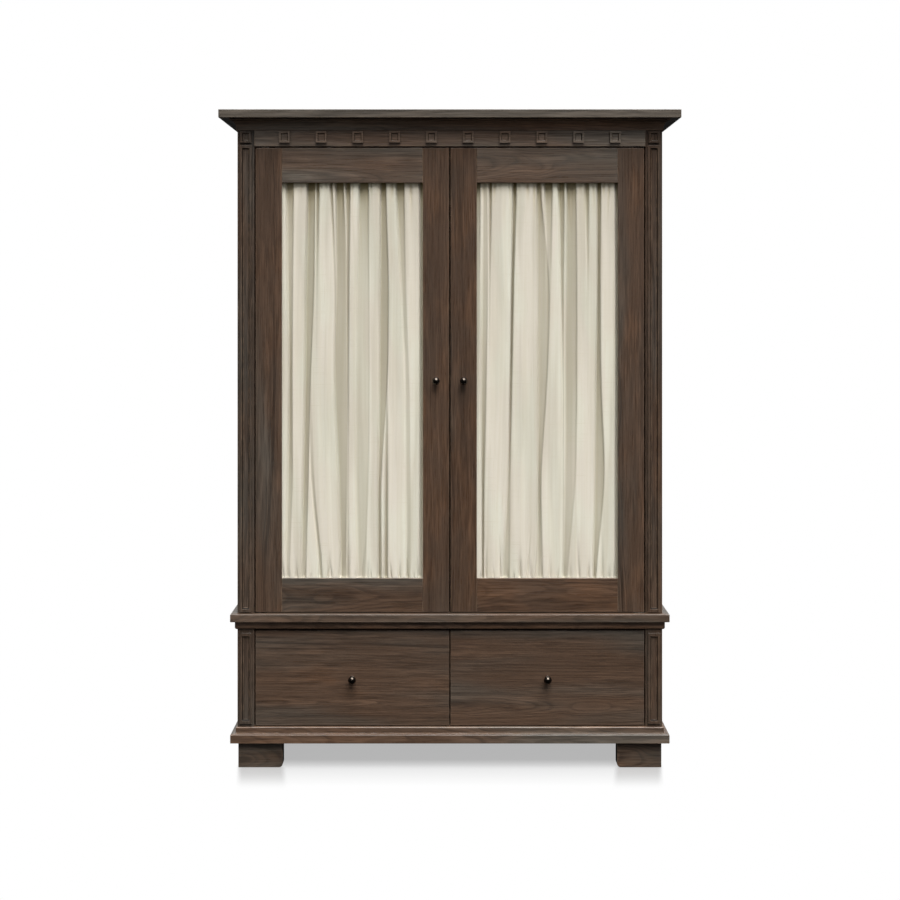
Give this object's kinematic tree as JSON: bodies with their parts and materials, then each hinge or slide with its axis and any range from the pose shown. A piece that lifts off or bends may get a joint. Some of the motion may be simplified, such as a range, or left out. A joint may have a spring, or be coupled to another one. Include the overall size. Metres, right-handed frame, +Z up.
{
  "type": "armoire",
  "caption": "Oak armoire with two curtained doors over side-by-side drawers, fluted corner posts, a dentil frieze, a coved cornice and bracket feet.",
  "frame": {"origin": "on the floor, in the middle of the whole piece's width and depth", "axes": "+Z up; the doors and drawers face -Y; +X to the right as seen from the front"},
  "size_m": [1.258, 0.601, 1.802],
  "materials": {
    "stained_oak": "satin dark grey-brown stain on open-grained oak",
    "drawer_box_wood": "plain sealed oak, unstained",
    "curtain_linen": "cream plain-weave linen, gathered",
    "dark_bronze": "dark bronze, satin",
    "steel": "satin steel"
  },
  "bodies": {
    "case": {"base_board": "stained_oak", "foot_front_left": "stained_oak", "foot_front_right": "stained_oak", "foot_rear_left": "stained_oak", "foot_rear_right": "stained_oak", "lower_post_left": "stained_oak", "lower_post_right": "stained_oak", "lower_side_left": "stained_oak", "lower_side_right": "stained_oak", "lower_back": "stained_oak", "drawer_divider": "stained_oak", "waist_moulding": "stained_oak", "waist_board": "stained_oak", "upper_post_left": "stained_oak", "upper_post_right": "stained_oak", "side_frame_left": "stained_oak", "side_frame_right": "stained_oak", "side_panel_left": "stained_oak", "side_panel_right": "stained_oak", "upper_back": "stained_oak", "frieze_rail": "stained_oak", "cornice_moulding": "stained_oak", "top_board": "stained_oak", "hat_shelf": "stained_oak", "hanging_rail": "steel", "rail_socket_left": "steel", "rail_socket_right": "steel", "pivot_bottom_left": "dark_bronze", "pivot_bottom_right": "dark_bronze", "pivot_top_left": "dark_bronze", "pivot_top_right": "dark_bronze", "door_catch": "dark_bronze"},
    "left_door": {"left_door_hinge_stile": "stained_oak", "left_door_meeting_stile": "stained_oak", "left_door_top_rail": "stained_oak", "left_door_bottom_rail": "stained_oak", "left_door_curtain": "curtain_linen", "left_door_top_rod": "dark_bronze", "left_door_bottom_rod": "dark_bronze", "left_door_knob": "dark_bronze"},
    "right_door": {"right_door_hinge_stile": "stained_oak", "right_door_meeting_stile": "stained_oak", "right_door_top_rail": "stained_oak", "right_door_bottom_rail": "stained_oak", "right_door_curtain": "curtain_linen", "right_door_top_rod": "dark_bronze", "right_door_bottom_rod": "dark_bronze", "right_door_knob": "dark_bronze"},
    "left_drawer": {"left_drawer_front": "stained_oak", "left_drawer_side_outer": "drawer_box_wood", "left_drawer_side_inner": "drawer_box_wood", "left_drawer_back": "drawer_box_wood", "left_drawer_bottom": "drawer_box_wood", "left_drawer_knob": "dark_bronze"},
    "right_drawer": {"right_drawer_front": "stained_oak", "right_drawer_side_outer": "drawer_box_wood", "right_drawer_side_inner": "drawer_box_wood", "right_drawer_back": "drawer_box_wood", "right_drawer_bottom": "drawer_box_wood", "right_drawer_knob": "dark_bronze"}
  },
  "joints": [
    {"name": "left_door_hinge", "type": "hinge", "parent": "case", "child": "left_door", "pos_m": [-0.5198, -0.2445, 1.0615], "axis": [0, 0, -1], "range_deg": [0, 108]},
    {"name": "right_door_hinge", "type": "hinge", "parent": "case", "child": "right_door", "pos_m": [0.5198, -0.2445, 1.0615], "axis": [0, 0, 1], "range_deg": [0, 108]},
    {"name": "left_drawer_slide", "type": "slide", "parent": "case", "child": "left_drawer", "axis": [0, -1, 0], "range_m": [0, 0.38]},
    {"name": "right_drawer_slide", "type": "slide", "parent": "case", "child": "right_drawer", "axis": [0, -1, 0], "range_m": [0, 0.38]}
  ]
}
